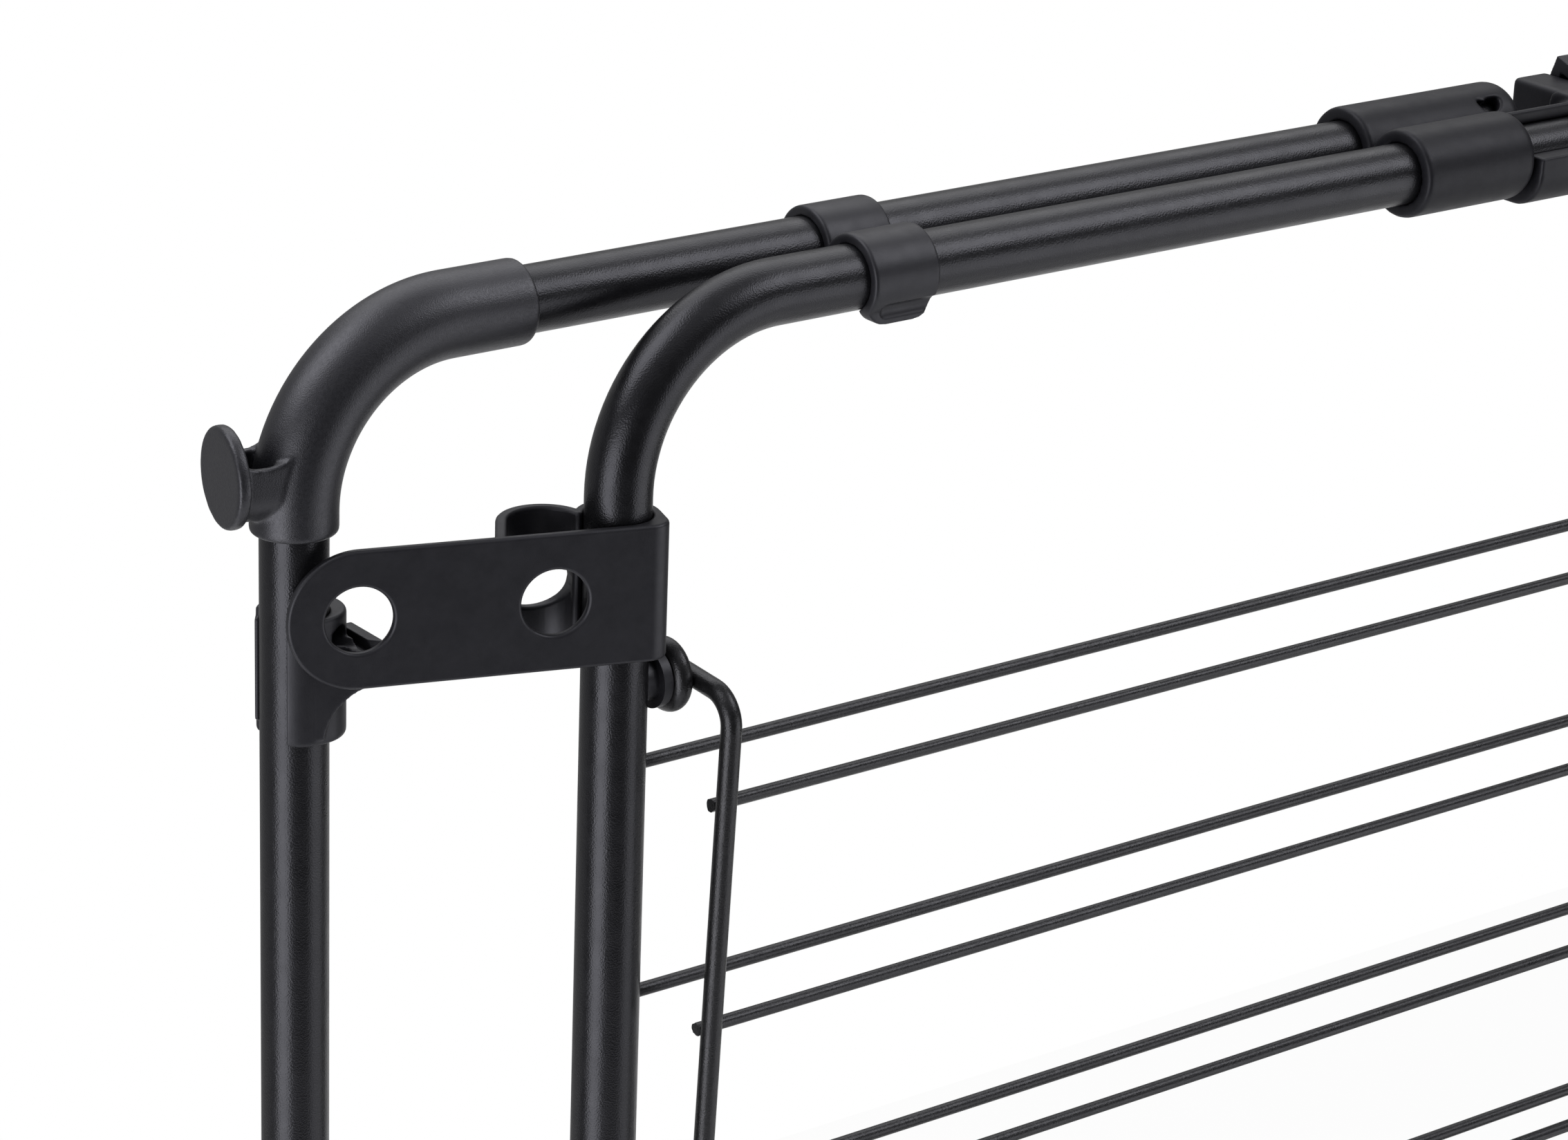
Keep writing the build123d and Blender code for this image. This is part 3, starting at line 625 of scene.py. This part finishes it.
# nearly white to the camera, partly white to mirror rays, and matt to all other light
def floorMaterial():
    mat = bpy.data.materials.new("pale_floor")
    mat.use_nodes = True
    tree = mat.node_tree
    tree.nodes.clear()
    out = tree.nodes.new("ShaderNodeOutputMaterial")
    matt = tree.nodes.new("ShaderNodeBsdfDiffuse")
    matt.inputs["Color"].default_value = (*floorSettings["color"], 1.0)
    glow = tree.nodes.new("ShaderNodeEmission")
    ray = tree.nodes.new("ShaderNodeLightPath")
    seen = mathOn(tree, "MULTIPLY", ray.outputs["Is Camera Ray"], floorSettings["white"])
    mirrored = mathOn(tree, "MULTIPLY", mirrorRays(tree, ray), floorSettings["mirrorWhite"])
    mix = tree.nodes.new("ShaderNodeMixShader")
    tree.links.new(mathOn(tree, "MAXIMUM", seen, mirrored), mix.inputs["Fac"])
    tree.links.new(matt.outputs[0], mix.inputs[1])
    tree.links.new(glow.outputs[0], mix.inputs[2])
    tree.links.new(mix.outputs[0], out.inputs["Surface"])
    return mat


def makeFloor():
    mesh = bpy.data.meshes.new("floor")
    z = cadBox[0].z - floorSettings["drop"]
    half = floorSettings["halfWide"]
    front = floorSettings["front"]
    back = floorSettings["back"]
    corners = [(-half, front, z), (half, front, z), (half, back, z), (-half, back, z)]
    mesh.from_pydata(corners, [], [(0, 1, 2, 3)])
    mesh.materials.append(floorMaterial())
    addObject("floor", mesh)


worldSettings = {
    "fill": 0.06,
    "behind": 0.16, "behindSpan": (0.0, 0.5),
    "above": 0.40, "aboveSpan": (0.3, 0.95),
    "mirrorWhite": 0.10,
    "panelWay": (0.5726, 0.7407, -0.3514), "panelSpan": (0.93, 1.0), "panelWhite": 0.9,
}


# white to the camera, and a dim room to light, with a bright panel and wall for mirror rays
def makeWorld():
    world = bpy.data.worlds.new("studio")
    bpy.context.scene.world = world
    world.use_nodes = True
    tree = world.node_tree
    tree.nodes.clear()
    out = tree.nodes.new("ShaderNodeOutputWorld")
    ground = tree.nodes.new("ShaderNodeBackground")
    ground.inputs["Color"].default_value = (1.0, 1.0, 1.0, 1.0)
    tree.links.new(ground.outputs[0], out.inputs["Surface"])
    way = tree.nodes.new("ShaderNodeTexCoord").outputs["Generated"]
    split = tree.nodes.new("ShaderNodeSeparateXYZ")
    tree.links.new(way, split.inputs[0])

    def ramp(value, span, top):
        node = tree.nodes.new("ShaderNodeMapRange")
        node.interpolation_type = "SMOOTHSTEP"
        node.inputs["From Min"].default_value = span[0]
        node.inputs["From Max"].default_value = span[1]
        node.inputs["To Max"].default_value = top
        tree.links.new(value, node.inputs["Value"])
        return node.outputs["Result"]

    behind = ramp(split.outputs["Y"], worldSettings["behindSpan"], worldSettings["behind"])
    above = ramp(split.outputs["Z"], worldSettings["aboveSpan"], worldSettings["above"])
    room = mathOn(tree, "ADD", mathOn(tree, "MAXIMUM", behind, above), worldSettings["fill"])
    facing = tree.nodes.new("ShaderNodeVectorMath")
    facing.operation = "DOT_PRODUCT"
    tree.links.new(way, facing.inputs[0])
    facing.inputs[1].default_value = worldSettings["panelWay"]
    panel = ramp(facing.outputs["Value"], worldSettings["panelSpan"], worldSettings["panelWhite"])
    wall = ramp(split.outputs["Y"], worldSettings["behindSpan"], worldSettings["mirrorWhite"])
    ray = tree.nodes.new("ShaderNodeLightPath")
    mirrored = mathOn(tree, "MULTIPLY", mirrorRays(tree, ray), mathOn(tree, "MAXIMUM", panel, wall))
    white = mathOn(tree, "MAXIMUM", ray.outputs["Is Camera Ray"], mirrored)
    strength = tree.nodes.new("ShaderNodeMix")
    strength.data_type = "FLOAT"
    tree.links.new(white, strength.inputs[0])
    tree.links.new(room, strength.inputs[2])  # sockets 2 and 3 are the two floats
    strength.inputs[3].default_value = 1.0
    tree.links.new(strength.outputs[0], ground.inputs["Strength"])


lampSettings = {
    "left_softbox": {
        "at": (-1.95, -0.6, 0.15), "aim": (-0.25, -0.06, 0.45), "size": (1.25, 1.8), "power": 23.0,
    },
    "right_card": {
        "at": (1.3, -1.75, 0.1), "aim": (-0.3, -0.06, 0.5), "size": (2.0, 1.5), "power": 14.0,
    },
    "front_softbox": {
        "at": (0.67, -0.8, 1.72), "aim": (-0.25, -0.05, 0.6), "size": (1.1, 0.8), "power": 8.5,
    },
    "corner_softbox": {
        "at": (-1.5, 0.5, 2.2), "aim": (-0.4, -0.05, 0.6), "size": (1.5, 1.7), "power": 21.0,
    },
    "top_softbox": {
        "at": (0.4, 1.1, 2.25), "aim": (-0.2, -0.05, 0.5), "size": (2.4, 1.8), "power": 16.0,
    },
}


def makeLamp(name, spec):
    data = bpy.data.lights.new(name, "AREA")
    data.shape = "RECTANGLE"
    data.size, data.size_y = spec["size"]
    data.energy = spec["power"]
    lamp = addObject(name, data)
    lamp.location = spec["at"]
    toward = Vector(spec["aim"]) - Vector(spec["at"])
    lamp.rotation_euler = toward.to_track_quat("-Z", "Y").to_euler()


makeFloor()
makeWorld()
for name, spec in lampSettings.items():
    makeLamp(name, spec)
print("stage done")


# camera at the photograph's viewpoint

cameraSettings = {
    "lens": 106.06, "sensor": 36.0,
    "at": (-0.91717, -0.88453, 0.97650),
    "right": (0.798758, -0.600607, 0.035451),
    "down": (-0.184783, -0.300970, -0.935560),
    "forward": (0.572573, 0.740736, -0.351384),
}


def makeCamera():
    data = bpy.data.cameras.new("camera")
    data.lens = cameraSettings["lens"]
    data.sensor_width = cameraSettings["sensor"]
    data.sensor_fit = "HORIZONTAL"
    camera = addObject("camera", data)
    right = Vector(cameraSettings["right"])
    up = -Vector(cameraSettings["down"])
    backward = -Vector(cameraSettings["forward"])
    turn = Matrix((right, up, backward)).transposed()
    camera.matrix_world = Matrix.Translation(cameraSettings["at"]) @ turn.to_4x4()
    bpy.context.scene.camera = camera


makeCamera()
bpy.context.scene.view_settings.view_transform = "Standard"
